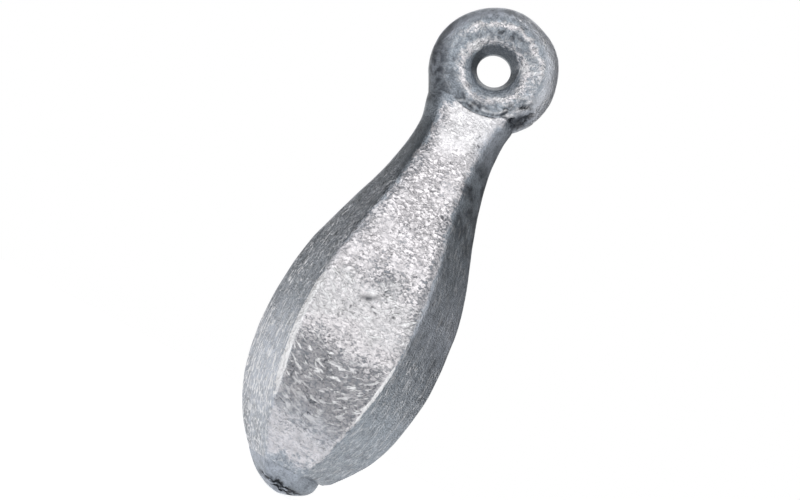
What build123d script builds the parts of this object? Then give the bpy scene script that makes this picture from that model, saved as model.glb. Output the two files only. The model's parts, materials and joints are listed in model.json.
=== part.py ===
"""Bank sinker: a cast lead fishing weight that hangs from its own eye.

The casting has a ring eye on top, a six-sided body that swells from a slim neck to a full belly,
and the broken stub of the pouring gate underneath. All sizes are in millimetres.

Frame: the origin is the centre of the eye's hole, the hole runs along Y, and +Z points up the line,
so the body hangs below the origin. A drop is a distance down from the origin.
"""

import math
import os

from build123d import *

# Eye: a round ring whose hole is waisted, because two tapered core pins meet at mid thickness
eye_outer_diameter = 15.9
eye_thickness = 5.9
hole_diameter = 4.1
hole_land_length = 1.4

# The hole's tapers meet the ring this far round its tube, counted from the inside of the ring
lip_angle = 42

# Body stations, each below the one before it. The first is measured from the eye's lower rim.
neck_below_eye = 0.8
waist_below_neck = 9.3
shoulder_below_waist = 9.6
belly_below_shoulder = 9.4
haunch_below_belly = 8.6
heel_below_haunch = 8.0

# Width across corners and thickness across the front and back facets, where the outline starts
# inside the eye's ring and then at each station
root_width = 11.3
root_thickness = 4.8
neck_width = 10.6
neck_thickness = 6.8
waist_width = 13.9
waist_thickness = 10.7
shoulder_width = 20.2
shoulder_thickness = 15.0
belly_width = 22.3
belly_thickness = 17.1
haunch_width = 20.0
haunch_thickness = 17.4
heel_width = 10.3
heel_thickness = 9.7

# How far above the middle of the ring's tube the outline starts, hidden in the ring
root_rise = 0.9

# Ridges between facets are worn to narrow flats, cut back this far into each facet, and the mould
# rounds the edge of the heel
ridge_setback = 0.35
heel_radius = 0.4

# Gate stub: what is left of the sprue after it was snapped off, a little off centre. The front of
# the break tore shorter than the back and left a sloping step.
stub_diameter = 8.3
stub_length = 3.1
stub_end_radius = 1.9
stub_offset = 0.3
tear_depth = 1.1
tear_setback = 1.2
tear_slope = 8

# Every cut runs past the solid by this much
overrun = 2.0

# The body is six-sided, so facets turn by this angle, and a facet lies nearer the axis than a corner
facet_angle = 60
flat_share = math.cos(math.radians(facet_angle / 2))

# The stub's end is rounded by no more than this share of its radius
end_limit_share = 0.48

tube_radius = eye_thickness / 2
tube_centre = eye_outer_diameter / 2 - tube_radius
root_drop = tube_centre - root_rise
neck_drop = eye_outer_diameter / 2 + neck_below_eye
waist_drop = neck_drop + waist_below_neck
shoulder_drop = waist_drop + shoulder_below_waist
belly_drop = shoulder_drop + belly_below_shoulder
haunch_drop = belly_drop + haunch_below_belly
heel_drop = haunch_drop + heel_below_haunch

os.makedirs("parts", exist_ok=True)


def facet_profile(root, neck, waist, shoulder, belly, haunch, heel):
    """Half outline of one pair of facets, from the span between them at each station."""
    with BuildLine() as outline:
        facet = Spline(
            (root / 2, -root_drop),
            (neck / 2, -neck_drop),
            (waist / 2, -waist_drop),
            (shoulder / 2, -shoulder_drop),
            (belly / 2, -belly_drop),
            (haunch / 2, -haunch_drop),
            (heel / 2, -heel_drop),
        )
        Polyline(facet @ 1, (0, -heel_drop), (0, -root_drop), facet @ 0)
    return outline.line


def facet_plane(angle):
    """Upright plane through the axis whose x direction is a facet's normal, at this angle from X."""
    turn = math.radians(angle)
    return Plane(
        origin=(0, 0, 0),
        x_dir=(math.cos(turn), math.sin(turn), 0),
        z_dir=(math.sin(turn), -math.cos(turn), 0),
    )


# Ring of the eye: a round tube, with the hole's cylindrical land in the middle of two tapers
lip_turn = math.radians(lip_angle)
lip_radius = tube_centre - tube_radius * math.cos(lip_turn)
lip_height = tube_radius * math.sin(lip_turn)

with BuildPart() as line_eye:
    with BuildSketch(Plane.XY):
        with BuildLine():
            bore = Polyline(
                (hole_diameter / 2, 0),
                (hole_diameter / 2, hole_land_length / 2),
                (lip_radius, lip_height),
            )
            crown = ThreePointArc(
                bore @ 1,
                (tube_centre, tube_radius),
                (tube_centre + tube_radius, 0),
            )
            Line(crown @ 1, bore @ 0)
        make_face()
        mirror(about=Plane.XZ)
    revolve(axis=Axis.Y)

# Body: three opposite pairs of facets, each a profile extruded across the body. The body is what
# the three extrusions share, with its ridges flattened and its top cut to seat under the ring.
flank_profile = facet_profile(
    root_width * flat_share,
    neck_width * flat_share,
    waist_width * flat_share,
    shoulder_width * flat_share,
    belly_width * flat_share,
    haunch_width * flat_share,
    heel_width * flat_share,
)
front_profile = facet_profile(
    root_thickness,
    neck_thickness,
    waist_thickness,
    shoulder_thickness,
    belly_thickness,
    haunch_thickness,
    heel_thickness,
)
facet_pairs = [
    (front_profile, 90, Mode.ADD),
    (flank_profile, 90 - facet_angle, Mode.INTERSECT),
    (flank_profile, 90 + facet_angle, Mode.INTERSECT),
]

with BuildPart() as sinker_body:
    for profile, angle, mode in facet_pairs:
        with BuildSketch(facet_plane(angle).offset(-belly_width)):
            add(profile)
            make_face()
            mirror(about=Plane.YZ)
        extrude(amount=2 * belly_width, mode=mode)
    end_edges = sinker_body.faces().filter_by(Axis.Z).edges()
    chamfer(sinker_body.edges() - end_edges, length=ridge_setback)
    heel = sinker_body.faces().sort_by(Axis.Z)[0]
    fillet(heel.edges(), radius=heel_radius)
    add(line_eye.part, mode=Mode.SUBTRACT)

# Gate stub: a round button with a rounded end, whose front is torn away to a sloping step
stub_radius = stub_diameter / 2
tear_drop = stub_length - tear_depth
end_radius = min(stub_end_radius, end_limit_share * stub_radius, tear_drop)
tear_reach = stub_radius + overrun
tear_rise = (tear_reach - tear_setback) * math.tan(math.radians(tear_slope))
stub_seat = (stub_offset, 0, -heel_drop)

with BuildPart() as sprue_stub:
    with BuildSketch(Plane(stub_seat, x_dir=(1, 0, 0), z_dir=(0, 0, -1))):
        Circle(stub_radius)
    extrude(amount=stub_length)
    end_edge = sprue_stub.faces().sort_by(Axis.Z)[0].edges()
    fillet(end_edge, radius=end_radius)
    with BuildSketch(Plane(stub_seat, x_dir=(0, 1, 0), z_dir=(1, 0, 0))):
        with BuildLine():
            Polyline(
                (-tear_setback, -tear_drop),
                (-tear_reach, tear_rise - tear_drop),
                (-tear_reach, -stub_length - overrun),
                (-tear_setback, -stub_length - overrun),
                close=True,
            )
        make_face()
    extrude(amount=stub_diameter, both=True, mode=Mode.SUBTRACT)

# Finished pieces
for piece, name in [
    (line_eye, "line_eye"),
    (sinker_body, "sinker_body"),
    (sprue_stub, "sprue_stub"),
]:
    piece.part.label = name
    export_step(piece.part, f"parts/{name}.step")
    print(name, round(piece.part.volume, 1), "mm3", len(piece.part.faces()), "faces")
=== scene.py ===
"""Looks of a cast lead bank sinker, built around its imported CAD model.

Three pieces stand for the CAD nodes: the six-sided body with its worn ridges and crinkled skin, the ring
eye with its speckled crest, and the torn stub of the pouring gate. Their sizes are measured from the
frame, so that they follow the CAD part.
"""

import json
import math

import bpy
import numpy as np
from bpy.props import FloatProperty, FloatVectorProperty, PointerProperty
from mathutils import Matrix, Vector, noise
from mathutils.bvhtree import BVHTree


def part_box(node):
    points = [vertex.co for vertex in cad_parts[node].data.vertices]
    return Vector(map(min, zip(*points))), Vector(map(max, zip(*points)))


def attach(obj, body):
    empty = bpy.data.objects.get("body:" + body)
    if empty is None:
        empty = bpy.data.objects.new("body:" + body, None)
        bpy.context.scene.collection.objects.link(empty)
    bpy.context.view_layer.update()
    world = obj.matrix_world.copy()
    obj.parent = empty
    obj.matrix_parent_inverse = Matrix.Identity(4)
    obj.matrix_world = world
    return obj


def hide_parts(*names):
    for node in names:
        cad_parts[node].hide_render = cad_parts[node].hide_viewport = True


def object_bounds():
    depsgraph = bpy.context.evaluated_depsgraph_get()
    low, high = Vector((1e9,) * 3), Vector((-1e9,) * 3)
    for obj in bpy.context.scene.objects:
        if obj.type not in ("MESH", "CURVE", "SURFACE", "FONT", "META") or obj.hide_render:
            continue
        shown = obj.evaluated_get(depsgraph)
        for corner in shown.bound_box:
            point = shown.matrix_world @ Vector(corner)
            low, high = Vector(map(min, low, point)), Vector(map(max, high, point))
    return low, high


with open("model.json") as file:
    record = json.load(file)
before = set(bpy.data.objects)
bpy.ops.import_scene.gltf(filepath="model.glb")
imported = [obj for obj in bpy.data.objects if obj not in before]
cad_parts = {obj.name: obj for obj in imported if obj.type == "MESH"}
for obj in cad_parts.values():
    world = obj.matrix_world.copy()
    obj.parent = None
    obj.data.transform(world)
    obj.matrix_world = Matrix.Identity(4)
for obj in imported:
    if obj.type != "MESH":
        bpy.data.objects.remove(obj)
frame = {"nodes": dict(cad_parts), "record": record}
cad_low, cad_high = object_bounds()

bl_info = {
    "name": "Bank Sinker",
    "version": (1, 0, 0),
    "blender": (4, 5, 0),
    "location": "View3D > Sidebar > Sinker",
    "description": "Dresses a packed bank sinker in cast lead and sets it on a white stage",
    "category": "Object",
}

MM = 0.001

# What the frame says of the ring, the body and the stub, in millimetres, as in all the grids of points
eye_low, eye_high = (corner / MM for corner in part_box("line_eye"))
stub_low, stub_high = (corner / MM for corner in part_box("sprue_stub"))
heel_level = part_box("sinker_body")[0].z / MM
bore = frame["record"]["mounts"][0]["dims"]
hole_radius = bore["r_mm"]
land_length = bore["length_mm"]
eye_radius = (eye_high.x - eye_low.x) / 2
tube_radius = (eye_high.y - eye_low.y) / 2
tube_centre = eye_radius - tube_radius
stub_radius = (stub_high.x - stub_low.x) / 2
stub_centre = (stub_high.x + stub_low.x) / 2

# Facets turn by 60 degrees round the body, and the front and back ones face along Y
FACET_COUNT = 6
FACET_TURN = 2 * math.pi / FACET_COUNT
FACET_NORMALS = FACET_TURN * (np.arange(FACET_COUNT) + 0.5)
RIDGE_NORMALS = FACET_TURN * np.arange(FACET_COUNT)
CORNER_SHARE = math.cos(FACET_TURN / 2)
FRONT_FACETS = np.abs(np.sin(FACET_NORMALS)) > 0.9
LEFT_FLANKS = np.cos(FACET_NORMALS) < -0.5
FRONT_FACET = 4
LEFT_FRONT_RIDGE = 4
RIGHT_FRONT_RIDGE = 5

# Shares that the meshes carry for the lead's shader
MASKS = "frost even pale worn rubbed scuff speckled brushed grime seam marked stroked".split()

# Fineness of the meshes
BODY_ROWS = 288
BODY_COLUMNS = 330
HEEL_ROWS = 6
CROWN_ROWS = 112
TAPER_ROWS = 14
LAND_ROWS = 12
EYE_COLUMNS = 360
STUB_ROWS = 110

# How far above the middle of the ring's tube the body starts, rows that the ring cuts there, rows that
# smooth a facet, and the height of the heel's edge
ROOT_RISE = 0.9
CUT_ROWS = 3
SMOOTHING_ROWS = 8
HEEL_EDGE = 0.7

# Size of the fillet between the left of the neck and the ring
FILLET_REACH = 1.8

# Bands of wear, finish and painted light down the body, each from its upper to its lower level
BELLY = (-32, -44)
PALE_NECK = (-6, -8.5)
BRIGHT_FRONT = (-31.5, -35.5)
STAIN_AND_SHADE_FRONT = (-40.4, -46.9)
LEFT_RIDGE = (-33.5, -43.8)
LEFT_RIDGE_END = (-46.5, -49.5)
RIGHT_RIDGE = (-39, -44)
LEFT_NECK_SHADE = (-7, -12)
LEFT_PALE = (-42, -47)
RIGHT_TARNISH = (-14, -18)
RIGHT_BELT = (-36, -41)
RIGHT_SPECKS = (-36.5, -42)
RIGHT_PALE_LEVEL = -31

# Where the frost ends above the heel
FROST_END = (-53.2, -51.8)

# Bump height, roughness and amount of oxide film of each lead
LEADS = {
    "Cast lead": (0.085 * MM, 0.28, 0.3),
    "Torn lead": (0.12 * MM, 0.4, 0.5),
}

# Cards that shade the metal: name, tone, azimuth and elevation in degrees, and distance, width and height
# in metres
CARDS = (
    ("lens_card", 0.03, 0, -5, 0.32, 0.3, 0.075),
    ("left_card", 0.25, -108, 27, 0.25, 0.34, 0.2),
    ("right_card", 0.6, 130, 24, 0.25, 0.28, 0.34),
    ("top_card", 0.4, 180, 80, 0.25, 0.3, 0.16),
)

# Floor, and the soft box with its azimuth, elevation and distance, in metres
FLOOR_SIZE = 1.2
FLOOR_TONE = 0.85
FLOOR_GLOW = 0.8
SOFT_BOX_SIZE = (0.32, 0.26)
SOFT_BOX_PLACE = (math.radians(-8), math.radians(42), 0.36)


class SinkerShape(bpy.types.PropertyGroup):
    """Sizes of the wear and of the cast skin."""

    neck_rounding: FloatProperty(
        name="Neck rounding", description="Radius of the ridges at the neck",
        default=1.2 * MM, unit="LENGTH",
    )
    belly_rounding: FloatProperty(
        name="Belly rounding", description="Radius of the ridges at the belly",
        default=0.25 * MM, unit="LENGTH",
    )
    ridge_wear: FloatProperty(
        name="Ridge wear", description="How deep the ridges are worn flat",
        default=0.15 * MM, unit="LENGTH",
    )
    lump_depth: FloatProperty(
        name="Lump depth", description="Depth of the broad dents in the facets",
        default=0.07 * MM, unit="LENGTH",
    )
    ripple_depth: FloatProperty(
        name="Ripple depth", description="Depth of the middling ripples of the cast skin",
        default=0.025 * MM, unit="LENGTH",
    )
    lip_angle: FloatProperty(
        name="Lip angle",
        description="Where the hole's taper meets the ring, round its tube from the inside",
        default=math.radians(42), subtype="ANGLE",
    )
    tear_depth: FloatProperty(
        name="Tear depth", description="How far above the end of the stub its ragged crack runs",
        default=1.2 * MM, unit="LENGTH",
    )


class SinkerFinish(bpy.types.PropertyGroup):
    """Colours and gloss of the lead."""

    frosted: FloatVectorProperty(
        name="Frosted lead", description="Colour of the crests of the frosted front and back facets",
        default=(0.935, 0.905, 0.93), subtype="COLOR",
    )
    hollow: FloatVectorProperty(
        name="Hollow lead", description="Colour between the crests of the frosted facets",
        default=(0.45, 0.44, 0.465), subtype="COLOR",
    )
    # The band round the belly is darkened partly by stain and partly as painted shade
    stained_and_shaded: FloatVectorProperty(
        name="Stained lead", description="Colour between the bright strokes of the band round the belly",
        default=(0.225, 0.238, 0.262), subtype="COLOR",
    )
    dull: FloatVectorProperty(
        name="Dull lead", description="Colour of the smooth side facets",
        default=(0.41, 0.455, 0.515), subtype="COLOR",
    )
    tarnished: FloatVectorProperty(
        name="Tarnished lead", description="Colour of the darker grains of the side facets",
        default=(0.24, 0.27, 0.305), subtype="COLOR",
    )
    # This colour also stands for painted reflection on the paler left flank and the right of the ring's rim
    scuffed_and_sheen: FloatVectorProperty(
        name="Scuffed lead", description="Colour of the belly and heel, which rub on the bottom",
        default=(0.523, 0.562, 0.637), subtype="COLOR",
    )
    # This colour also stands for painted shade: in the crease under the ring, the hole, the dent, the crack
    # and along the ridges
    oxide_and_shade: FloatVectorProperty(
        name="Oxide", description="Colour of the dark film in creases and pores",
        default=(0.047, 0.053, 0.064), subtype="COLOR",
    )
    # This colour also stands for painted highlights: the pale neck and bright band of the front, glints,
    # the ridges and the ring's right rim
    worn: FloatVectorProperty(
        name="Worn lead", description="Colour of the ridges where wear keeps them bright",
        default=(0.95, 0.95, 0.97), subtype="COLOR",
    )
    metallic: FloatProperty(
        name="Metallic", description="How much of the finish is bare metal", default=0.8, subtype="FACTOR"
    )


class SinkerStage(bpy.types.PropertyGroup):
    """Camera and light."""

    camera_distance: FloatProperty(
        name="Camera distance", description="From the camera to the point it looks at",
        default=0.18, unit="LENGTH",
    )
    camera_lens: FloatProperty(
        name="Camera lens", description="Focal length of the camera", default=67.6, unit="CAMERA"
    )
    camera_azimuth: FloatProperty(
        name="Camera azimuth", description="How far the camera stands to the right of the front",
        default=math.radians(3.4), subtype="ANGLE",
    )
    camera_elevation: FloatProperty(
        name="Camera elevation", description="How far the camera stands above the point it looks at",
        default=math.radians(-6.5), subtype="ANGLE",
    )
    camera_roll: FloatProperty(
        name="Camera roll", description="How far the sinker leans to the right in the picture",
        default=math.radians(27.6), subtype="ANGLE",
    )
    look_drop: FloatProperty(
        name="Look drop", description="How far below the eye's centre the camera looks",
        default=24.66 * MM, unit="LENGTH",
    )
    look_side: FloatProperty(
        name="Look side", description="How far to the right of the axis the camera looks",
        default=-0.06 * MM, unit="LENGTH",
    )
    key_level: FloatProperty(
        name="Key level", description="Brightness of the soft box, where 1 is white", default=1.1
    )
    room_level: FloatProperty(
        name="Room level", description="Brightness of the room that lights the sinker all round",
        default=0.3,
    )


def ramp(start, end, values):
    """Share from 0 to 1 that rises smoothly while values go from start to end."""
    share = np.clip((values - start) / (end - start), 0, 1)
    return share * share * (3 - 2 * share)


def bell(values, centre, width):
    """Bell of height 1 round a centre."""
    return np.exp(-(((values - centre) / width) ** 2))


def lumps(points, size, seed, octaves=2):
    """Soft noise from about -1 to 1 at each point, with lumps of about this size."""
    shift = np.array((13.7, 7.9, 3.1)) * seed
    places = (points.reshape(-1, 3) / size + shift).tolist()
    values = [noise.fractal(place, 1.0, 2.0, octaves) for place in places]
    return np.array(values).reshape(points.shape[:-1])


def oval(along, across, length, width):
    """Bell of height 1 over an oval, from distances along and across it."""
    return np.exp(-((along / length) ** 2) - (across / width) ** 2)


def placed(x, y, z):
    """Points from their coordinates."""
    return np.stack(np.broadcast_arrays(x, y, z), axis=-1)


def toward(around, degrees):
    """Cosine of the angle from a direction round the ring, which is in degrees from the top."""
    return np.cos(around - math.radians(degrees))


def lobe(around, degrees, power):
    """Share of 1 in a direction round the ring, narrower for a higher power."""
    return np.maximum(toward(around, degrees), 0) ** power


def grid_normals(points, closed_rows):
    """Outward directions of a grid of points whose columns run round the piece."""
    around = np.roll(points, -1, axis=1) - np.roll(points, 1, axis=1)
    if closed_rows:
        along = np.roll(points, -1, axis=0) - np.roll(points, 1, axis=0)
    else:
        along = np.gradient(points, axis=0)
    normals = np.cross(around, along)
    length = np.linalg.norm(normals, axis=-1, keepdims=True)
    return normals / np.maximum(length, 1e-12)


def grid_piece(name, points, masks, material, closed_rows):
    """Mesh object from a grid of points in millimetres. Open ends close, and masks become attributes."""
    rows, columns, _ = points.shape
    index = np.arange(rows * columns).reshape(rows, columns)
    if closed_rows:
        index = np.vstack([index, index[:1]])
    turned = np.roll(index, -1, axis=1)
    quads = np.stack([index[:-1], turned[:-1], turned[1:], index[1:]], axis=-1)
    faces = quads.reshape(-1, 4).tolist()
    steps = np.array([[0, 0], [1, 0], [1, 1], [0, 1]])
    cells = np.stack(np.meshgrid(np.arange(columns), np.arange(len(index) - 1)), axis=-1)
    grid_map = (cells[:, :, None, :] + steps) / (columns, len(index) - 1)
    corner_map = [grid_map.reshape(-1, 2)]
    vertices = points.reshape(-1, 3)
    if not closed_rows:
        ends = np.array([points[0].mean(axis=0), points[-1].mean(axis=0)])
        vertices = np.vstack([vertices, ends])
        middle = np.full(columns, rows * columns)
        faces += np.stack([middle, turned[0], index[0]], axis=1).tolist()
        faces += np.stack([middle + 1, index[-1], turned[-1]], axis=1).tolist()
        corner_map.append(np.zeros((6 * columns, 2)))
    mesh = bpy.data.meshes.new(name)
    mesh.from_pydata((vertices * MM).tolist(), [], faces)
    unwrapped = mesh.uv_layers.new(name="OFBake")
    unwrapped.uv.foreach_set("vector", np.vstack(corner_map).astype(np.float32).ravel())
    for mask_name, values in masks.items():
        filled = np.zeros(len(vertices), np.float32)
        filled[: rows * columns] = values.ravel()
        mesh.attributes.new(mask_name, "FLOAT", "POINT").data.foreach_set("value", filled)
    mesh.shade_smooth()
    mesh.materials.append(material)
    piece = bpy.data.objects.new(name, mesh)
    bpy.context.scene.collection.objects.link(piece)
    return piece


def ring_distance(points):
    """Distance of points from the skin of the eye's round tube."""
    out = np.hypot(points[..., 0], points[..., 2]) - tube_centre
    return np.hypot(out, points[..., 1]) - tube_radius


def node_tree(node):
    """Search tree of a CAD node's mesh."""
    mesh = frame["nodes"][node].data
    corners = [vertex.co / MM for vertex in mesh.vertices]
    return BVHTree.FromPolygons(corners, [face.vertices for face in mesh.polygons])


def facet_reach(tree, turn, levels):
    """Distance from the axis to the CAD body's skin in one direction, smoothed along the levels."""
    outward = Vector((math.cos(turn), math.sin(turn), 0))
    reach = []
    for level in levels:
        start = outward * eye_radius * 3 + Vector((0, 0, level))
        hit = tree.ray_cast(start, -outward)[0]
        reach.append(math.nan if hit is None else hit.dot(outward))
    reach = np.array(reach)
    found = np.flatnonzero(~np.isnan(reach))
    first = found[0] + CUT_ROWS
    slope = reach[first + 1] - reach[first]
    above = np.arange(first)
    reach[above] = reach[first] + (above - first) * slope
    last = np.flatnonzero(levels > heel_level + HEEL_EDGE)[-1]
    slope = reach[last] - reach[last - 1]
    below = np.arange(last, len(reach))
    reach[below] = reach[last] + (below - last) * slope
    window = np.hanning(2 * SMOOTHING_ROWS + 1)
    padded = np.pad(reach, SMOOTHING_ROWS, mode="reflect", reflect_type="odd")
    return np.convolve(padded, window / window.sum(), mode="valid")


def wander(levels, length, seed):
    """Slow noise from about -1 to 1 along the body's levels, taken far apart for each seed."""
    return lumps(placed(0, seed / MM, levels), length, seed)


def body_levels():
    """Levels of the body's rows, from inside the ring down to the heel."""
    return np.linspace(-tube_centre + ROOT_RISE, heel_level, BODY_ROWS)


def body_turns():
    """Turns of the body's columns, which run clockwise seen from above."""
    return np.linspace(2 * math.pi, 0, BODY_COLUMNS, endpoint=False)


def stretch(levels, start, end, fade):
    """Share of 1 between two levels, the upper one first, that fades out beyond them."""
    return ramp(start + fade, start, levels) * ramp(end - fade, end, levels)


def body_skin(shape):
    """Radius of the body, its shares of front and brightened ridge, and how far out its front ridges lie.
    """
    levels, around = body_levels(), body_turns()
    tree = node_tree("sinker_body")
    front = facet_reach(tree, FACET_NORMALS[FRONT_FACET], levels)
    flank = facet_reach(tree, FACET_NORMALS[0], levels)

    # Each facet keeps its own slight waves, so that the ridges wander
    reach = np.where(FRONT_FACETS, front[:, None], flank[:, None])
    for facet in range(FACET_COUNT):
        reach[:, facet] += 0.06 * wander(levels, 4, seed=facet + 1)
    reach[:, LEFT_FLANKS] += (0.38 * bell(levels, -6.8, 1.8))[:, None]

    # Ridges are soft at the neck and crisp at the belly, where they are worn flat
    down = ramp(-12, -30, levels)
    rounding = shape.neck_rounding + (shape.belly_rounding - shape.neck_rounding) * down
    softness = (rounding / MM * 0.22)[:, None, None]
    reach[:, ~FRONT_FACETS] += 0.5 * softness[..., 0] * (1 - down)[:, None]
    wear = np.repeat(shape.ridge_wear / MM * (0.4 + 0.35 * down)[:, None], FACET_COUNT, axis=1)
    # Ridges are brighter round the belly and on the front two, partly worn lead and partly painted
    # highlight, and the dashes down the left one are painted glints
    bright = np.zeros_like(wear)
    belly = stretch(levels, *BELLY, 6)
    for ridge in range(FACET_COUNT):
        waves = wander(levels, 6, seed=ridge + 21)
        wear[:, ridge] *= 1 + 0.6 * waves
        bright[:, ridge] = (0.5 + 0.3 * waves) * belly
    left_bright = stretch(levels, *LEFT_RIDGE, 3.5)
    right_bright = stretch(levels, *RIGHT_RIDGE, 3)
    dashes = ramp(0.15, 0.4, wander(levels, 0.6, seed=61))
    dashes = 0.6 * dashes * stretch(levels, *LEFT_RIDGE_END, 0.8)
    bright[:, LEFT_FRONT_RIDGE] = left_bright + dashes
    bright[:, RIGHT_FRONT_RIDGE] = right_bright * (0.8 + 0.4 * wander(levels, 1.8, seed=62))
    wear[:, LEFT_FRONT_RIDGE] += 0.09 * left_bright
    ridge_reach = (reach + np.roll(reach, 1, axis=1)) / (2 * CORNER_SHARE) - np.maximum(wear, 0)

    # The skin lies on the nearest of the facets and worn flats, blended where they meet
    turns = np.concatenate([FACET_NORMALS, RIDGE_NORMALS])
    cosine = np.maximum(np.cos(around[:, None] - turns), 0.3)
    spans = np.concatenate([reach, ridge_reach], axis=1)[:, None, :] / cosine
    nearest = spans.min(axis=-1, keepdims=True)
    weights = np.exp((nearest - spans) / softness)
    whole = weights.sum(axis=-1, keepdims=True)
    radius = (nearest - softness * np.log(whole))[..., 0]
    shares = weights / whole
    facing_front = shares[..., :FACET_COUNT][..., FRONT_FACETS].sum(axis=-1)
    rubbed = (shares[..., FACET_COUNT:] * bright[:, None, :]).sum(axis=-1)
    ridge_side = (flank - front * math.cos(FACET_TURN)) / math.sin(FACET_TURN)
    return radius, facing_front, rubbed, ridge_side


def fillet_height(gap):
    """How far a fillet lifts a skin, from its gap to the other skin that the fillet joins it to."""
    return FILLET_REACH / 4 * np.clip(1 - gap / FILLET_REACH, 0, 1) ** 2


def left_corner(points):
    """Share of 1 at the left of the neck, where it flows into the ring without a crease."""
    return ramp(-0.8, -3.4, points[..., 0])


def body_gap(points, shape):
    """Distance of points outside the body's skin, measured level with them."""
    radius = body_skin(shape)[0]
    levels = body_levels()
    x, y, z = np.moveaxis(points, -1, 0)
    row = np.clip((levels[0] - z) / (levels[0] - levels[1]), 0, BODY_ROWS - 2)
    turn = np.arctan2(y, x)
    column = (-turn / (2 * math.pi) % 1) * BODY_COLUMNS
    upper, left = row.astype(int), column.astype(int)
    down, along = row - upper, column - left
    left, right = left % BODY_COLUMNS, (left + 1) % BODY_COLUMNS
    high = radius[upper, left] * (1 - along) + radius[upper, right] * along
    low = radius[upper + 1, left] * (1 - along) + radius[upper + 1, right] * along
    return np.hypot(x, y) - high * (1 - down) - low * down


def notched(around):
    """Share of 1 on the right and back of the heel, where the stub stands back from it."""
    return np.maximum(ramp(0.2, 0.8, np.cos(around)), ramp(0, 0.7, np.sin(around)))


def crescent_dent(points):
    """Shares of the crescent dent in the front facet: its bowl, the even skin round it and its glint."""
    x, y, levels = np.moveaxis(points, -1, 0)
    in_front = y < 0
    right = x + 0.1
    curved = levels + 32.1 - 0.5 * right - 0.25 * right**2
    bowl = oval(right, curved, 1.1, 0.35) * in_front
    skin = oval(right, levels + 31.7, 1.6, 1.2) * in_front
    glint = oval(right, levels + 31.4, 0.5, 0.4) * in_front
    return bowl, skin, glint


def front_masks(points, front, ridge_side, ragged, patch):
    """Masks of the frosted front and back, with stain and painted shade round the belly, gone at the heel.
    """
    across, levels = points[..., 0], points[..., 2]
    bowl, dent_skin, glint = crescent_dent(points)

    # Painted shade darkens the edges along the ridges, on the left above the belly and on the right beside
    # it
    edged = np.where(
        across < 0,
        ramp(-29.5, -25.5, levels) + 0.5 * ramp(-9.5, -7.5, levels),
        ramp(-16.5, -19.5, levels) * ramp(-41, -30, levels),
    )
    beyond = np.abs(across) - ridge_side[:, None]
    edge = np.clip(edged, 0, 1) * ramp(-2.6, -0.1, beyond)
    margin = np.clip(edged, 0, 1) * ramp(-1.3, -0.2, beyond)

    # Frost ends raggedly along the ridges, and softly where they are soft
    fade = 0.5 - 0.35 * ramp(-14, -32, levels)
    beyond += 0.2 * edged + 1.2 * fade * lumps(points, 1.0, seed=35, octaves=3)
    frost = ramp(fade, -fade, beyond) * ramp(*FROST_END, ragged)
    frost = frost * np.clip(0.95 + 0.3 * patch, 0, 1)
    frost *= 1 - left_corner(points) * ramp(1.6, 0.4, np.abs(ring_distance(points)))

    # A band of stain and painted shade with bright strokes, a dark patch above the dent, and brighter skin
    # below it
    slanted = ragged + 0.1 * across
    stain_and_shade = stretch(slanted, *STAIN_AND_SHADE_FRONT, 4.2) * front
    dark_patch = oval(across - 0.9, levels + 29.6, 3.4, 2.0)
    stain_and_shade += 0.9 * dark_patch * (points[..., 1] < 0) * front
    # The bright strokes are partly painted glints
    strokes = stain_and_shade * (0.35 + 0.75 * bell(slanted, -41.8, 2.4))
    neck = stretch(ragged, *PALE_NECK, 7)
    end_patch = ramp(-45, -48, slanted)
    bright_band = stretch(ragged, *BRIGHT_FRONT, 1.5) * (1 - dent_skin)
    even = np.clip(0.05 + 0.8 * lumps(points, 2.4, seed=38), 0, 0.5)
    even += 0.3 * neck + 0.3 * end_patch
    even += 0.5 * dent_skin - 0.2 * bright_band
    # The pale neck and the brighter skin below the dark patch are painted highlights
    pale = 0.6 * neck + 0.45 * bright_band
    return {
        "frost": frost,
        "even": np.clip(even, 0, 0.9),
        "pale": pale * (1 - edge) * front * (frost > 0.5),
        # The dent's glint is a painted highlight
        "worn": 0.75 * glint,
        "scuff": 0.35 * end_patch * frost,
        # Painted shade in the dent's bowl and along the right ridge's edge
        "grime": 0.95 * bowl + 0.4 * (across > 0) * margin * front,
        "marked": stain_and_shade + (0.9 * edge + 0.12 * bright_band) * frost,
        "stroked": strokes + 1.2 * bright_band * frost,
    }


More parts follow.
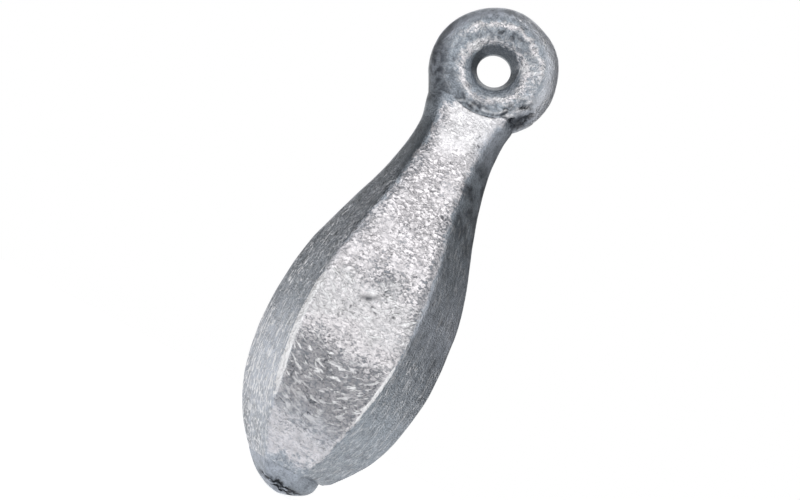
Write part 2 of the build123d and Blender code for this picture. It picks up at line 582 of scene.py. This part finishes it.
def side_masks(points, around, front, ragged, patch):
    """Masks of the sides, paler toward the belly and heel, the left more than the right, partly rubbed and
    partly painted reflection.
    """
    levels = points[..., 2]
    turned = np.cos(around)
    left = ramp(-0.2, -0.6, turned)
    right = ramp(0.2, 0.6, turned)
    above_heel = ramp(*FROST_END, ragged)
    side = 1 - front * above_heel
    # The pale skin low on the left flank is partly rubbed lead and partly painted reflection
    left_pale = stretch(ragged, *LEFT_PALE, 4)
    scuff = left * (0.55 * ramp(-14, -23, ragged))
    scuff += left * (0.3 * ramp(-33, -43, ragged) + 0.9 * left_pale)
    scuff += right * (0.9 * bell(levels, RIGHT_PALE_LEVEL, 5) + bell(levels, -9, 3))
    scuff += (1 - left - right) * 0.4 * (1 - above_heel)
    pale = left * left_pale + right * bell(levels, RIGHT_PALE_LEVEL, 4)
    speckled = left * ramp(-10, -26, levels) * (1.2 + 0.8 * left_pale)
    speckled += 0.7 * right * stretch(levels, *RIGHT_SPECKS, 2)
    brushed = ramp(-14, -22, levels)
    brushed = side * brushed * (1 + 1.5 * left * ramp(-35, -42, levels))

    # Tarnish on the right, small blotches, and shade at the neck, the corners, the belt and the heel
    mottled = np.clip(0.5 + 1.5 * lumps(points, 2.2, seed=37, octaves=5), 0, 1)
    blotched = np.clip(lumps(points, 0.8, seed=39, octaves=4), 0, 1) * side
    belt = stretch(levels, *RIGHT_BELT, 2.5)
    grime = 0.65 * right * stretch(ragged, *RIGHT_TARNISH, 6) * mottled * side + 0.5 * blotched
    grime += 0.1 * left * side * stretch(levels, *LEFT_NECK_SHADE, 3)
    grime += 0.45 * left_corner(points) * side * ramp(-8.5, -6.5, levels)
    grime += 0.2 * ramp(-0.93, -0.99, turned) * ramp(-24, -30, levels)
    grime += right * side * belt * (0.1 + 0.15 * ramp(0.93, 0.99, turned))
    grime += (0.3 * left * mottled + 0.1 * right) * side * ramp(-46, -50, levels)
    return {
        "pale": 0.15 * pale * side,
        "worn": 0.05 * left * left_pale * side,
        "scuff": scuff * side * np.clip(0.9 + 0.5 * patch, 0, 1),
        "speckled": speckled * side,
        "brushed": brushed,
        "grime": grime,
    }


def body_grid(shape):
    """Points and masks of the six-sided body, from inside the ring down to the heel."""
    radius, front, rubbed, ridge_side = body_skin(shape)
    around = body_turns()
    levels = np.repeat(body_levels()[:, None], BODY_COLUMNS, axis=1)
    notch = notched(around) * ramp(heel_level + 0.8, heel_level, levels) ** 2
    radius = radius - 0.4 * notch
    points = placed(radius * np.cos(around), radius * np.sin(around), levels)
    normals = grid_normals(points, False)

    # Lumps, ripples, the crease or fillet under the ring, and the dent in the front facet
    off_ring = ring_distance(points)
    corner = left_corner(points)
    crease = np.exp(-np.abs(off_ring) / 0.35) * front * (1 - corner)
    height = shape.lump_depth / MM * lumps(points, 5, seed=31)
    height += shape.ripple_depth / MM * lumps(points, 1.5, seed=32) * (0.5 + 0.5 * front)
    height -= 0.1 * crease
    height += 0.2 * bell(off_ring, 0, 0.8) * (1 - front) * (1 - corner)
    height += fillet_height(np.maximum(off_ring, 0)) * corner
    height -= 0.22 * crescent_dent(points)[0]

    # Marks have ragged ends and come in patches
    ragged = levels + 1.6 * lumps(points, 3.5, seed=36, octaves=4)
    patch = lumps(points, 6, seed=34)
    masks = front_masks(points, front, ridge_side, ragged, patch)
    # The crease under the ring on the front carries painted shade
    masks.update(rubbed=np.clip(rubbed, 0, 1), seam=crease)
    for name, mask in side_masks(points, around, front, ragged, patch).items():
        masks[name] = masks.get(name, 0) + mask
    masks["grime"] = np.clip(masks["grime"], 0, 1)

    # The heel closes in rings that shrink to its middle
    points = points + normals * height[..., None]
    shrink = np.linspace(1, 0.05, HEEL_ROWS + 1)[1:]
    heel = points[-1][None] * placed(shrink, shrink, 1)[:, None]
    more_rows = ((0, HEEL_ROWS), (0, 0))
    masks = {name: np.pad(mask, more_rows, mode="edge") for name, mask in masks.items()}
    return np.vstack([points, heel]), masks


def eye_section(lip):
    """Outline of the ring's tube and waisted hole, as distances out from the hole's axis and along it."""
    crown = np.linspace(math.pi - lip, lip - math.pi, CROWN_ROWS)
    crown = np.stack([tube_centre + tube_radius * np.cos(crown), tube_radius * np.sin(crown)], axis=1)
    land_top = np.array([hole_radius, land_length / 4])
    land_end = np.array([hole_radius, -land_length / 4])
    shares = np.linspace(0, 1, TAPER_ROWS + 1)[1:-1, None]
    back_taper = crown[-1] + (land_end - crown[-1]) * shares
    land = land_end + (land_top - land_end) * np.linspace(0, 1, LAND_ROWS)[:, None]
    front_taper = land_top + (crown[0] - land_top) * shares
    section = np.vstack([crown, back_taper, land, front_taper])
    return (np.roll(section, 1, axis=0) + 2 * section + np.roll(section, -1, axis=0)) / 4


def eye_frost(points, around):
    """Two rings of frost, set a little low on the ring, the dull groove between them, and a few glints."""
    ragged = np.hypot(points[..., 0] - 0.05, points[..., 2] + 0.7)
    ragged += 0.5 * lumps(points, 1.6, seed=46, octaves=3)
    outer = 0.15 + 0.8 * ramp(0, 0.6, toward(around, 5)) + 0.5 * lobe(around, 125, 8)
    inner = 0.75 - 0.2 * np.cos(around) + 0.35 * lobe(around, 70, 4) + 0.4 * lobe(around, 298, 8)
    groove = bell(ragged, 4.8, 0.45)
    frost = inner * bell(ragged, 3.85, 0.5) + outer * bell(ragged, 5.75, 0.42)
    frost += 0.5 * groove * lobe(around, 88, 6)
    glints = sum(bell(np.degrees(around), turn, 9) for turn in (70, 149, 291))
    return np.clip(frost, 0, 1), groove, glints * bell(ragged, 3.6, 0.35)


def neck_pits(points, in_front):
    """Burr in the front of the ring by the right corner of the neck, and the pits in it."""
    side = points[..., 0] - 5.4
    rise = points[..., 2] + 4.45
    along, across = 0.6 * side + 0.8 * rise, 0.8 * side - 0.6 * rise
    burr = oval(along, across, 2.1, 1.1) * in_front
    drawn = placed(along * 0.5, across, points[..., 1])
    pits = np.clip(0.45 + 3 * lumps(drawn, 0.8, seed=45, octaves=3), 0, 1)
    return burr, pits * np.clip(1.8 * burr, 0, 1)


def neck_lip_and_crease(points, around, out):
    """Pale lip, a painted highlight, and dark crease, a painted shade, where the front of the neck meets
    the ring.
    """
    levels = np.linspace(-tube_centre, -eye_radius, 40)
    neck = facet_reach(node_tree("sinker_body"), FACET_NORMALS[FRONT_FACET], levels)
    proud = -points[..., 1] - np.interp(-points[..., 2], -levels, neck)
    at_neck = ramp(-0.65, -0.8, np.cos(around)) * (points[..., 1] < 0) * (out > tube_centre)
    at_neck *= 1 - left_corner(points)
    lip = bell(proud, 0.15, 0.05) * at_neck
    return lip, bell(proud, 0.01, 0.05) * at_neck


def eye_grid(shape):
    """Points and masks of the ring eye: a round tube with a waisted hole."""
    section = eye_section(shape.lip_angle)
    around = np.linspace(0, 2 * math.pi, EYE_COLUMNS, endpoint=False)
    degrees = np.degrees(around)
    points = placed(section[:, :1] * np.sin(around), -section[:, 1:], section[:, :1] * np.cos(around))
    normals = grid_normals(points, True)
    out = np.hypot(points[..., 0], points[..., 2])
    lip_out = tube_centre - tube_radius * math.cos(shape.lip_angle)
    bore_wall = ramp(lip_out + 0.1, lip_out - 0.1, out)
    face = ramp(0.2, 0.7, np.abs(points[..., 1]) / tube_radius)
    in_front = ramp(0.8, -1.0, points[..., 1])
    frost, groove, glints = eye_frost(points, around)
    frost = frost * face * (1 - bore_wall)
    burr, pits = neck_pits(points, in_front)

    # Lumps, the groove, the pits, the fillet at the left of the neck, and two slight flats on the right
    height = 0.09 * lumps(points, 6, seed=41)
    height += 1.4 * shape.ripple_depth / MM * lumps(points, 1.1, seed=42, octaves=3) * (1 - bore_wall)
    height -= 0.05 * groove
    height += 0.12 * burr - 0.5 * pits
    joined = left_corner(points) * (points[..., 2] < -2)
    gap = np.maximum(body_gap(points, shape), 0)
    height += fillet_height(gap) * joined
    joined = joined * ramp(FILLET_REACH, 0, gap)
    outside = ramp(tube_centre, eye_radius, out)
    height -= 0.13 * bell(degrees, 20, 12) * outside
    height -= 0.1 * bell(degrees, 78, 15) * outside
    points = points + normals * height[..., None]

    # The rim is dark at the lower left, a painted shade, and paler on the right, a painted highlight
    rim = ramp(5.8, 6.8, out)
    dark_side = ramp(0.6, 0.92, toward(around, 227))
    pale_side = ramp(-0.1, 0.8, toward(around, 70))
    low_side = ramp(0.3, 0.9, -np.cos(around))
    top_side = ramp(0.4, 0.95, np.cos(around))
    mottled = np.clip(0.45 + 1.6 * lumps(points, 0.8, seed=47, octaves=3), 0, 1)
    clean = 1 - 0.7 * lobe(around, 75, 3) - 0.5 * lobe(around, 280, 4)
    film = (0.25 * face + 0.45 * groove) * (1 + 0.4 * low_side + 0.4 * top_side)
    # Painted shade on the bore wall inside the hole; the pits and the burr are darker too
    grime = 0.45 * bore_wall + 1.2 * pits + 0.5 * burr
    grime += film * mottled * (1 - bore_wall) * clean
    grime += 0.25 * bell(out, 5.95, 0.5) * face * top_side
    grime *= 1 - 0.8 * joined
    grime += 0.8 * ramp(4.9, 6.9, out) * dark_side * (0.75 + 0.25 * mottled)
    grime += 0.3 * bell(degrees, 133, 13) * ramp(6.2, 6.9, out) * in_front
    # Painted shade in the crease where the neck meets the ring, and a painted highlight along its lip
    lip, seam = neck_lip_and_crease(points, around, out)
    grime += 0.5 * seam
    worn = 0.5 * lip * np.clip(0.7 + lumps(points, 1.0, seed=48), 0, 1)
    worn += 0.3 * rim * pale_side * (1 - np.clip(1.6 * burr, 0, 1))
    worn += 0.8 * glints * face * (1 - bore_wall)
    specks = 1.2 * frost + 0.3 * face * (1 - dark_side) + 0.6 * rim * pale_side
    masks = {
        "frost": 0.66 * frost,
        "marked": 0.2 * frost,
        "stroked": 0.6 * frost,
        "speckled": specks * (1 - burr),
        "worn": worn,
        "scuff": rim * (1.2 * pale_side + 1.2 * ramp(0.2, 0.9, toward(around, 300))),
        "grime": np.clip(grime, 0, 1),
    }
    return points, masks


def stub_grid(shape):
    """Points and masks of the gate stub. It flows from the heel but for a notch on the right and back."""
    around = body_turns()
    heel = body_skin(shape)[0][-1]
    button = stub_centre * np.cos(around) + 0.95 * stub_radius
    apart = notched(around)
    top = heel + (button - heel) * apart
    length = stub_high.z - stub_low.z
    depth = np.linspace(-0.2, 1, STUB_ROWS)[:, None]
    inside = np.minimum(depth, 0)
    below = np.clip(depth, 0, 0.9999)
    flowing = (1 - below) ** 0.5
    rounded = (1 - below**2.7) ** 0.8
    taper = (flowing + (rounded - flowing) * apart) * (1 + 0.3 * inside)
    radius = top * taper
    outward = placed(np.cos(around), np.sin(around), 0)
    across = radius * np.cos(around) + 0.4 * below**2
    levels = stub_high.z - depth * length
    points = placed(across, radius * np.sin(around), levels)

    # A ragged double crack runs across the front of the torn end and leaves a pale sliver below it
    ragged = lumps(points * (1, 0.4, 0.4), 0.9, seed=51, octaves=3)
    edge = stub_low.z + shape.tear_depth / MM - 0.07 * across + 0.3 * ragged
    low = ramp(0.3, 0.6, below)
    width = ramp(-2.9, -2.2, across) * ramp(3.4, 2.6, across)
    in_front = ramp(0.3, -0.3, points[..., 1]) * width
    broad = np.clip(0.75 + 0.8 * lumps(points, 0.7, seed=52, octaves=3), 0.15, 1.2)
    upper = bell(levels, edge, 0.24 * broad)
    lower = bell(levels, edge - 0.45, 0.16 * broad) * ramp(-1.2, 0, across)
    crack = np.clip(upper + lower, 0, 1) * in_front
    sliver = ramp(0, 0.15, edge - levels) * in_front * (1 - crack)
    inward = 0.5 * crack + 0.12 * sliver
    points -= inward[..., None] * outward
    bulge = lumps(points * (0.3, 0.3, 1), 0.5, seed=54, octaves=3) * 0.03
    bulge *= ramp(0, 0.3, below)
    bulge += shape.lump_depth / MM * lumps(points, 5, seed=31)
    points += bulge[..., None] * outward
    rubbed = 0.55 - 0.35 * np.cos(around)
    masks = {
        "scuff": rubbed * (1 - 0.6 * ramp(0.1, 0.7, below)) + 0.7 * sliver,
        # Painted shade in the crack, and the lower end darker in patches
        "grime": np.clip(1.4 * crack + 0.35 * low * np.clip(2 * ragged, 0, 1), 0, 1),
    }
    return points, masks


def new_node(tree, kind, **settings):
    """Adds a shader node with these settings."""
    made = tree.nodes.new(kind)
    for setting, value in settings.items():
        setattr(made, setting, value)
    return made


def new_group(name, inputs, outputs):
    """Empty shader node group with its input and output nodes."""
    group = bpy.data.node_groups.new(name, "ShaderNodeTree")
    for socket_name, kind, value in inputs:
        socket = group.interface.new_socket(name=socket_name, in_out="INPUT", socket_type=kind)
        socket.default_value = value
    for socket_name, kind in outputs:
        group.interface.new_socket(name=socket_name, in_out="OUTPUT", socket_type=kind)
    return group, group.nodes.new("NodeGroupInput"), group.nodes.new("NodeGroupOutput")


def places_in_mm(group):
    """Places on the casting in millimetres, for a node group."""
    place = new_node(group, "ShaderNodeTexCoord")
    scaled = new_node(group, "ShaderNodeVectorMath", operation="SCALE")
    scaled.inputs["Scale"].default_value = 1 / MM
    group.links.new(place.outputs["Object"], scaled.inputs[0])
    return scaled.outputs[0]


def spread(tree, share, low, high, kind="LINEAR"):
    """Share whose values from low to high become 0 to 1."""
    span = new_node(tree, "ShaderNodeMapRange", interpolation_type=kind)
    span.inputs["From Min"].default_value = low
    span.inputs["From Max"].default_value = high
    tree.links.new(share, span.inputs["Value"])
    return span.outputs[0]


def noise_share(group, place, per_mm, detail, distortion, span):
    """Noise texture in a group, spread so that the values of its span become 0 to 1."""
    texture = new_node(group, "ShaderNodeTexNoise", noise_dimensions="3D")
    texture.inputs["Detail"].default_value = detail
    texture.inputs["Distortion"].default_value = distortion
    group.links.new(place, texture.inputs["Vector"])
    group.links.new(per_mm, texture.inputs["Scale"])
    return spread(group, texture.outputs[0], *span)


def maths(tree, operation, first, second, **settings):
    """Result of a Math node for a socket and a socket or number."""
    made = new_node(tree, "ShaderNodeMath", operation=operation, **settings)
    tree.links.new(first, made.inputs[0])
    if isinstance(second, bpy.types.NodeSocket):
        tree.links.new(second, made.inputs[1])
    else:
        made.inputs[1].default_value = second
    return made.outputs[0]


def product(tree, first, second):
    """Product of a socket and a socket or number."""
    return maths(tree, "MULTIPLY", first, second)


def difference(tree, first, second):
    """What is left of a socket, from 0 to 1, when a socket or number is taken from it."""
    return maths(tree, "SUBTRACT", first, second, use_clamp=True)


def total(tree, *values):
    """Sum of sockets."""
    result = values[0]
    for value in values[1:]:
        result = maths(tree, "ADD", result, value)
    return result


def crinkled_skin_group():
    """Crests of the wormy crinkles and finer grain of the cast skin, each from 0 to 1."""
    group, given, result = new_group(
        "Crinkled Skin",
        [("Crinkles per mm", "NodeSocketFloat", 3.2), ("Grain per mm", "NodeSocketFloat", 5.0)],
        [("Crests", "NodeSocketFloat"), ("Grain", "NodeSocketFloat")],
    )
    place = places_in_mm(group)
    squeezed = new_node(group, "ShaderNodeVectorMath", operation="MULTIPLY")
    squeezed.inputs[1].default_value = (0.75, 1, 1.15)
    group.links.new(place, squeezed.inputs[0])
    crests = noise_share(group, squeezed.outputs[0], given.outputs["Crinkles per mm"], 3, 0.8, (0.34, 0.58))
    grain = noise_share(group, place, given.outputs["Grain per mm"], 2, 0, (0.35, 0.65))
    group.links.new(crests, result.inputs["Crests"])
    group.links.new(grain, result.inputs["Grain"])


def bright_marks_group():
    """Scattered bright strokes, stretched one way and bent into arcs, as a mask from 0 to 1."""
    group, given, result = new_group(
        "Bright Marks",
        [
            ("Marks per mm", "NodeSocketFloat", 1.0),
            ("Squeeze", "NodeSocketVector", (1, 1, 1)),
            ("Arc per mm", "NodeSocketFloat", 0.0),
        ],
        [("Marks", "NodeSocketFloat")],
    )
    place = places_in_mm(group)
    parts = new_node(group, "ShaderNodeSeparateXYZ")
    group.links.new(place, parts.inputs[0])
    x = parts.outputs["X"]
    arc = product(group, product(group, product(group, x, x), given.outputs["Arc per mm"]), -1)
    bent = new_node(group, "ShaderNodeCombineXYZ")
    group.links.new(x, bent.inputs["X"])
    group.links.new(parts.outputs["Y"], bent.inputs["Y"])
    group.links.new(total(group, parts.outputs["Z"], arc), bent.inputs["Z"])
    squeezed = new_node(group, "ShaderNodeVectorMath", operation="MULTIPLY")
    group.links.new(bent.outputs[0], squeezed.inputs[0])
    group.links.new(given.outputs["Squeeze"], squeezed.inputs[1])
    marks = noise_share(group, squeezed.outputs[0], given.outputs["Marks per mm"], 2, 0.6, (0.53, 0.64))
    group.links.new(marks, result.inputs["Marks"])


def oxide_film_group():
    """Patches of dark film, as a mask from 0 to 1."""
    group, given, result = new_group(
        "Oxide Film",
        [("Patches per mm", "NodeSocketFloat", 1.0), ("Amount", "NodeSocketFloat", 0.3)],
        [("Film", "NodeSocketFloat")],
    )
    patches = noise_share(group, places_in_mm(group), given.outputs["Patches per mm"], 5, 0, (0.42, 0.75))
    group.links.new(product(group, patches, given.outputs["Amount"]), result.inputs["Film"])


def mixed_colour(tree, first, second, share):
    """Mix node whose colours are sockets or plain colours."""
    mix = new_node(tree, "ShaderNodeMix", data_type="RGBA")
    for socket, value in ((mix.inputs[6], first), (mix.inputs[7], second)):
        if isinstance(value, bpy.types.NodeSocket):
            tree.links.new(value, socket)
        else:
            socket.default_value = (*value, 1)
    tree.links.new(share, mix.inputs[0])
    return mix.outputs[2]


def mixed_share(tree, first, second, share):
    """Share that goes from a socket to a number as another share goes from 0 to 1."""
    mix = new_node(tree, "ShaderNodeMix", data_type="FLOAT")
    tree.links.new(share, mix.inputs[0])
    tree.links.new(first, mix.inputs[2])
    mix.inputs[3].default_value = second
    return mix.outputs[0]


def group_node(tree, name, **settings):
    """Node of a shader group, with some of its inputs set."""
    made = new_node(tree, "ShaderNodeGroup", node_tree=bpy.data.node_groups[name])
    for socket, value in settings.items():
        made.inputs[socket.replace("_", " ")].default_value = value
    return made


def bright_marks(tree, per_mm, squeeze=(1, 1, 1), arc=0.0):
    """Mask of bright marks, for a number per millimetre, a squeeze on each axis and a bend."""
    made = group_node(tree, "Bright Marks", Marks_per_mm=per_mm, Squeeze=squeeze, Arc_per_mm=arc)
    return made.outputs["Marks"]


def clustered(tree, clusters, mask, everywhere):
    """Mask that has a share of itself everywhere and more where marks cluster."""
    gathered = product(tree, product(tree, clusters, mask), 0.6)
    return total(tree, gathered, product(tree, mask, everywhere))


def lead_material(name, finish, bump_step, roughness, film_amount):
    """Cast lead: frosted and dull areas, creases darkened as painted shade, film, and bright marks and worn
    ridges that are partly painted highlights.
    """
    material = bpy.data.materials.new(name)
    material.use_nodes = True
    tree = material.node_tree
    shader = tree.nodes["Principled BSDF"]
    shader.inputs["Metallic"].default_value = finish.metallic
    shader.inputs["Roughness"].default_value = roughness
    mask = {}
    for each in MASKS:
        mask[each] = new_node(tree, "ShaderNodeAttribute", attribute_name=each).outputs["Fac"]
    skin = group_node(tree, "Crinkled Skin")
    crests, grain = skin.outputs["Crests"], skin.outputs["Grain"]
    film = group_node(tree, "Oxide Film", Amount=film_amount).outputs["Film"]
    strokes = bright_marks(tree, 1.25, squeeze=(0.65, 1, 1.7), arc=0.07)
    specks = bright_marks(tree, 2.8, squeeze=(1.2, 1.2, 0.6))
    streaks = bright_marks(tree, 1.5, squeeze=(2, 2, 0.25))
    pits = bright_marks(tree, 2.6)
    clusters = bright_marks(tree, 0.55)

    # Dull lead, and frosted lead over it that is thin in the hollows and darkened first there by stain and
    # painted shade
    dull = mixed_colour(tree, finish.tarnished, finish.dull, grain)
    relief = mixed_share(tree, crests, 0.6, mask["even"])
    # Crests lighter than the hollows: partly the frost's own tone and partly painted sparkle
    frosted = mixed_colour(tree, finish.hollow, finish.frosted, relief)
    stained_and_shaded = mixed_colour(tree, finish.stained_and_shaded, finish.hollow, product(tree, crests, 0.8))
    stain_and_shade = difference(tree, product(tree, mask["marked"], 1.9), crests)
    frosted = mixed_colour(tree, frosted, stained_and_shaded, stain_and_shade)
    thin = difference(tree, total(tree, product(tree, mask["frost"], 2), crests), 1.0)
    colour = mixed_colour(tree, dull, frosted, thin)
    colour = mixed_colour(tree, colour, finish.worn, mask["pale"])

    # Scuffs and painted sheen, oxide film, pits, grime and painted shade, and the crease's painted shade
    scuffed_and_sheen = product(tree, product(tree, mask["scuff"], grain), 0.9)
    scuffed_and_sheen = total(tree, product(tree, mask["scuff"], 0.5), scuffed_and_sheen)
    colour = mixed_colour(tree, colour, finish.scuffed_and_sheen, scuffed_and_sheen)
    colour = mixed_colour(tree, colour, finish.oxide_and_shade, film)
    pitted = product(tree, product(tree, pits, clusters), mask["frost"])
    colour = mixed_colour(tree, colour, finish.oxide_and_shade, product(tree, pitted, 0.8))
    dark = total(tree, mask["grime"], spread(tree, mask["seam"], 0.5, 0.85, "SMOOTHSTEP"))
    colour = mixed_colour(tree, colour, finish.oxide_and_shade, dark)

    # Bright ridges, strokes, specks and streaks, partly worn lead and partly painted highlights and glints
    struck = product(tree, strokes, clustered(tree, clusters, mask["stroked"], 0.9))
    specked = product(tree, specks, clustered(tree, clusters, mask["speckled"], 0.35))
    streaked = product(tree, product(tree, streaks, mask["brushed"]), 0.32)
    ridges = spread(tree, mask["rubbed"], 0.3, 0.5, "SMOOTHSTEP")
    bright = total(tree, mask["worn"], ridges, struck, specked, streaked)
    colour = mixed_colour(tree, colour, finish.worn, bright)
    tree.links.new(colour, shader.inputs["Base Color"])

    bump = new_node(tree, "ShaderNodeBump")
    bump.inputs["Distance"].default_value = bump_step
    crinkles = product(tree, relief, mask["frost"])
    height = total(tree, crinkles, product(tree, grain, 0.35), struck, specked)
    tree.links.new(height, bump.inputs["Height"])
    tree.links.new(bump.outputs["Normal"], shader.inputs["Normal"])
    return material


def lead(name):
    """One of the two lead materials, made with their groups when first asked for."""
    if name not in bpy.data.materials:
        if "Crinkled Skin" not in bpy.data.node_groups:
            crinkled_skin_group()
            bright_marks_group()
            oxide_film_group()
        lead_material(name, bpy.context.scene.sinker_finish, *LEADS[name])
    return bpy.data.materials[name]


def add_piece(name, grid, node, material, closed_rows=False):
    """Makes a piece from its grid and puts it in place of its CAD node."""
    points, masks = grid(bpy.context.scene.sinker_shape)
    piece = grid_piece(name, points, masks, lead(material), closed_rows)
    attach(piece, "root")
    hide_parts(node)


class SINKER_OT_cast_body(bpy.types.Operator):
    """Makes the six-sided body, with its worn ridges and crinkled skin"""

    bl_idname = "sinker.cast_body"
    bl_label = "Cast body"

    def execute(self, context):
        add_piece("cast_body", body_grid, "sinker_body", "Cast lead")
        return {"FINISHED"}


class SINKER_OT_cast_eye(bpy.types.Operator):
    """Makes the ring eye with its waisted hole"""

    bl_idname = "sinker.cast_eye"
    bl_label = "Cast eye"

    def execute(self, context):
        add_piece("cast_eye", eye_grid, "line_eye", "Cast lead", closed_rows=True)
        return {"FINISHED"}


class SINKER_OT_torn_stub(bpy.types.Operator):
    """Makes the torn stub of the pouring gate"""

    bl_idname = "sinker.torn_stub"
    bl_label = "Torn stub"

    def execute(self, context):
        add_piece("torn_stub", stub_grid, "sprue_stub", "Torn lead")
        return {"FINISHED"}


def white_rays(tree):
    """Share of 1 for rays that show the white background: camera, glossy and transmission rays."""
    path = new_node(tree, "ShaderNodeLightPath")
    seen = path.outputs["Is Camera Ray"]
    for kind in ("Is Glossy Ray", "Is Transmission Ray"):
        seen = maths(tree, "MAXIMUM", seen, path.outputs[kind])
    return seen


def white_world(level):
    """World that is white behind the sinker and lights it at the level of a plain room."""
    world = bpy.data.worlds.new("White room")
    world.use_nodes = True
    tree = world.node_tree
    background = tree.nodes["Background"]
    background.inputs["Color"].default_value = (1, 1, 1, 1)
    span = new_node(tree, "ShaderNodeMapRange")
    span.inputs["To Min"].default_value = level
    span.inputs["To Max"].default_value = 1.0
    tree.links.new(white_rays(tree), span.inputs["Value"])
    tree.links.new(span.outputs[0], background.inputs["Strength"])
    bpy.context.scene.world = world


def stage_plane(name, width, height, material):
    """Flat stage piece that faces up its own Z."""
    mesh = bpy.data.meshes.new(name)
    x, y = width / 2, height / 2
    mesh.from_pydata([(-x, -y, 0), (x, -y, 0), (x, y, 0), (-x, y, 0)], [], [(0, 1, 2, 3)])
    mesh.materials.append(material)
    plane = bpy.data.objects.new(name, mesh)
    bpy.context.scene.collection.objects.link(plane)
    return plane


def facing(target, azimuth, elevation, distance):
    """Matrix of something that stands off from the target in this direction and faces it with -Z."""
    back = Vector(
        (
            math.sin(azimuth) * math.cos(elevation),
            -math.cos(azimuth) * math.cos(elevation),
            math.sin(elevation),
        )
    )
    turn = (-back).to_track_quat("-Z", "Y").to_matrix().to_4x4()
    return Matrix.Translation(target + back * distance) @ turn


def matt_material(name, tone):
    """Plain matt material of one grey tone."""
    material = bpy.data.materials.new(name)
    material.use_nodes = True
    shader = material.node_tree.nodes["Principled BSDF"]
    shader.inputs["Base Color"].default_value = (tone, tone, tone, 1)
    shader.inputs["Roughness"].default_value = 1.0
    return material


def floor_material():
    """Pale floor that looks white to the camera and in reflections but keeps the shadow."""
    material = matt_material("Pale floor", FLOOR_TONE)
    tree = material.node_tree
    shader = tree.nodes["Principled BSDF"]
    shader.inputs["Emission Color"].default_value = (1, 1, 1, 1)
    tree.links.new(product(tree, white_rays(tree), FLOOR_GLOW), shader.inputs["Emission Strength"])
    return material


class SINKER_OT_stage(bpy.types.Operator):
    """Sets up the floor, the white room, the soft box, the dark cards and the camera"""

    bl_idname = "sinker.stage"
    bl_label = "Stage"

    def execute(self, context):
        stage = context.scene.sinker_stage
        target = Vector((stage.look_side, 0, -stage.look_drop))
        white_world(stage.room_level)
        floor = stage_plane("floor", FLOOR_SIZE, FLOOR_SIZE, floor_material())
        floor.location.z = cad_low.z
        for name, tone, azimuth, elevation, distance, width, height in CARDS:
            card = stage_plane(name, width, height, matt_material(name, tone))
            card.matrix_world = facing(target, math.radians(azimuth), math.radians(elevation), distance)
            card.visible_camera = False
        soft_box = bpy.data.lights.new("soft_box", "AREA")
        soft_box.shape = "RECTANGLE"
        soft_box.size, soft_box.size_y = SOFT_BOX_SIZE
        soft_box.energy = stage.key_level * math.pi * soft_box.size * soft_box.size_y
        lamp = bpy.data.objects.new("soft_box", soft_box)
        lamp.matrix_world = facing(target, *SOFT_BOX_PLACE)
        lamp.visible_camera = False
        context.scene.collection.objects.link(lamp)

        camera = bpy.data.cameras.new("camera")
        camera.lens = stage.camera_lens
        camera.clip_start, camera.clip_end = 0.01, 10
        holder = bpy.data.objects.new("camera", camera)
        aim = facing(target, stage.camera_azimuth, stage.camera_elevation, stage.camera_distance)
        holder.matrix_world = aim @ Matrix.Rotation(stage.camera_roll, 4, "Z")
        context.scene.collection.objects.link(holder)
        context.scene.camera = holder
        context.scene.view_settings.view_transform = "Standard"
        return {"FINISHED"}


class VIEW3D_PT_sinker(bpy.types.Panel):
    """Lists the sinker's settings and steps"""

    bl_label = "Bank Sinker"
    bl_space_type = "VIEW_3D"
    bl_region_type = "UI"
    bl_category = "Sinker"

    def draw(self, context):
        scene = context.scene
        for settings in (scene.sinker_shape, scene.sinker_finish, scene.sinker_stage):
            for setting in settings.__annotations__:
                self.layout.prop(settings, setting)
        for step in STEPS:
            self.layout.operator(step.bl_idname)


STEPS = (SINKER_OT_cast_body, SINKER_OT_cast_eye, SINKER_OT_torn_stub, SINKER_OT_stage)
CLASSES = (SinkerShape, SinkerFinish, SinkerStage, *STEPS, VIEW3D_PT_sinker)


def register():
    for each in CLASSES:
        bpy.utils.register_class(each)
    bpy.types.Scene.sinker_shape = PointerProperty(type=SinkerShape)
    bpy.types.Scene.sinker_finish = PointerProperty(type=SinkerFinish)
    bpy.types.Scene.sinker_stage = PointerProperty(type=SinkerStage)


def unregister():
    del bpy.types.Scene.sinker_stage
    del bpy.types.Scene.sinker_finish
    del bpy.types.Scene.sinker_shape
    for each in reversed(CLASSES):
        bpy.utils.unregister_class(each)


def main():
    register()
    bpy.ops.sinker.cast_body()
    bpy.ops.sinker.cast_eye()
    bpy.ops.sinker.torn_stub()
    bpy.ops.sinker.stage()


if __name__ == "__main__":
    main()
